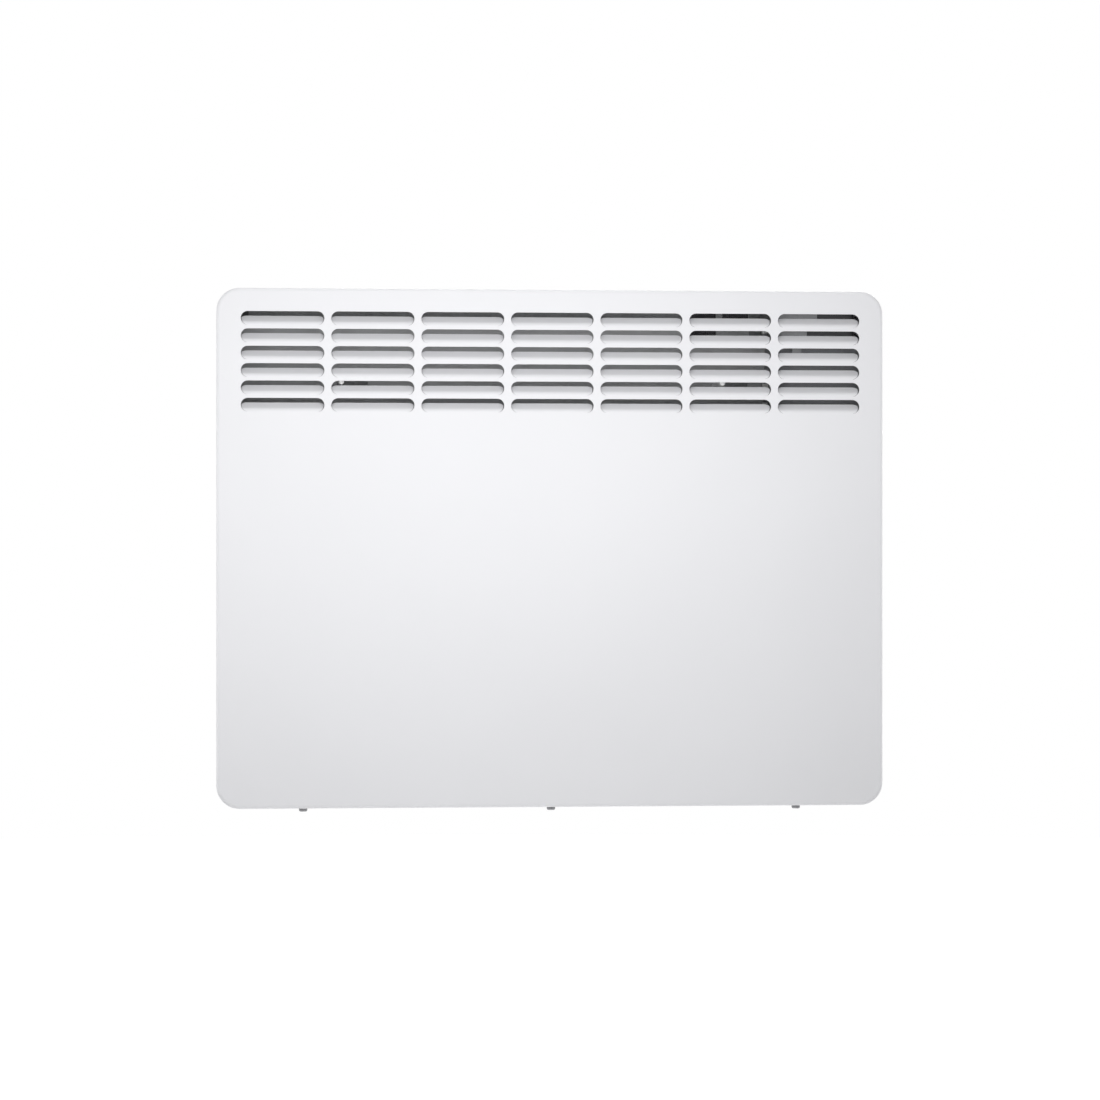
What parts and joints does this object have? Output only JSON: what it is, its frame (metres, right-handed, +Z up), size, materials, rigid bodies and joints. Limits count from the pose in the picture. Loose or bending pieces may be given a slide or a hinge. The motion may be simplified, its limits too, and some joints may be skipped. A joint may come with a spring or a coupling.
{
  "type": "wall panel convector heater",
  "caption": "Slim white wall-hung convector panel heater with louvred outlets in rows near the top, top-mounted controls and a lift-off wall bracket.",
  "frame": {"origin": "centre of the four wall screw holes, on the wall plane", "axes": "+X to the right as seen from the front, +Z up, +Y into the wall; the front faces -Y"},
  "size_m": [0.582, 0.099, 0.4548],
  "materials": {
    "white_coat": "fine orange-peel powder coat, satin",
    "galvanised": "zinc-coated sheet, fine spangle",
    "bright_sheet": "aluminised sheet, soft sheen",
    "fin_aluminium": "extruded, dull",
    "sheath_steel": "heat-tinted tube",
    "dark_steel": "black-passivated screw",
    "zinc_screw": "zinc-plated",
    "steatite": "unglazed ceramic",
    "brass": "plain",
    "dark_plastic": "fine spark texture",
    "fascia_plastic": "satin black",
    "button_plastic": "light grey, satin",
    "lens_smoke": "smoked acrylic",
    "display_glass": "liquid-crystal panel, grey-green",
    "board_green": "solder mask",
    "light_plastic": "natural nylon",
    "relay_blue": "moulded case",
    "tape_yellow": "wrapped tape",
    "rubber_grey": "moulded",
    "lead_blue": "insulation",
    "lead_brown": "insulation",
    "lead_black": "insulation",
    "lead_red": "silicone insulation",
    "lead_earth": "green and yellow insulation",
    "lead_grey": "insulation"
  },
  "bodies": {
    "bracket": {"wall_bracket": "galvanised"},
    "heater": {"front_casing": "white_coat", "rear_panel": "galvanised", "base_grille": "white_coat", "casing_screws": "dark_steel", "rear_panel_screws": "zinc_screw", "sheet_rivets": "zinc_screw", "wall_spacers": "rubber_grey", "left_end_plate": "bright_sheet", "partition": "galvanised", "rear_baffle": "bright_sheet", "front_shield": "bright_sheet", "baffle_pegs": "steatite", "board_cover": "galvanised", "element_fins": "fin_aluminium", "element_sheath": "sheath_steel", "element_collars": "steatite", "element_insulator": "steatite", "element_pins": "brass", "thermal_cutout": "steatite", "cutout_terminals": "brass", "control_housing": "dark_plastic", "control_fascia": "fascia_plastic", "display_lens": "lens_smoke", "display_panel": "display_glass", "display_board": "board_green", "button_contacts": "dark_plastic", "power_board": "board_green", "board_standoffs": "brass", "board_screws": "zinc_screw", "board_connectors": "light_plastic", "relay": "relay_blue", "transformer": "tape_yellow", "filter_capacitor": "tape_yellow", "cable_gland": "dark_plastic", "gland_nut": "dark_plastic", "terminal_block": "light_plastic", "terminal_screws": "zinc_screw", "switch_body": "dark_plastic", "switch_terminals": "brass", "room_sensor": "dark_plastic", "sensor_clip": "light_plastic", "chassis_screws": "zinc_screw", "neutral_wire": "lead_blue", "live_wire": "lead_brown", "switched_wire": "lead_black", "element_wire": "lead_red", "cutout_wires": "lead_red", "sensor_wire": "lead_grey", "earth_wire": "lead_earth", "ribbon_cable": "lead_grey"},
    "button_menu": {"button_menu": "button_plastic"},
    "button_minus": {"button_minus": "button_plastic"},
    "button_plus": {"button_plus": "button_plastic"},
    "button_ok": {"button_ok": "button_plastic"},
    "rocker": {"switch_rocker": "fascia_plastic"}
  },
  "joints": [
    {"name": "lift_off", "type": "slide", "parent": "bracket", "child": "heater", "axis": [0, 0, 1], "range_m": [0, 0.012]},
    {"name": "menu_press", "type": "slide", "parent": "heater", "child": "button_menu", "axis": [0, 0, -1], "range_m": [0, 0.0008], "stiffness_N_per_m": 2000},
    {"name": "minus_press", "type": "slide", "parent": "heater", "child": "button_minus", "axis": [0, 0, -1], "range_m": [0, 0.0008], "stiffness_N_per_m": 2000},
    {"name": "plus_press", "type": "slide", "parent": "heater", "child": "button_plus", "axis": [0, 0, -1], "range_m": [0, 0.0008], "stiffness_N_per_m": 2000},
    {"name": "ok_press", "type": "slide", "parent": "heater", "child": "button_ok", "axis": [0, 0, -1], "range_m": [0, 0.0008], "stiffness_N_per_m": 2000},
    {"name": "mains_switch", "type": "hinge", "parent": "heater", "child": "rocker", "pos_m": [0.258, -0.045, -0.2227], "axis": [-1, 0, 0], "range_deg": [0, 16]}
  ]
}
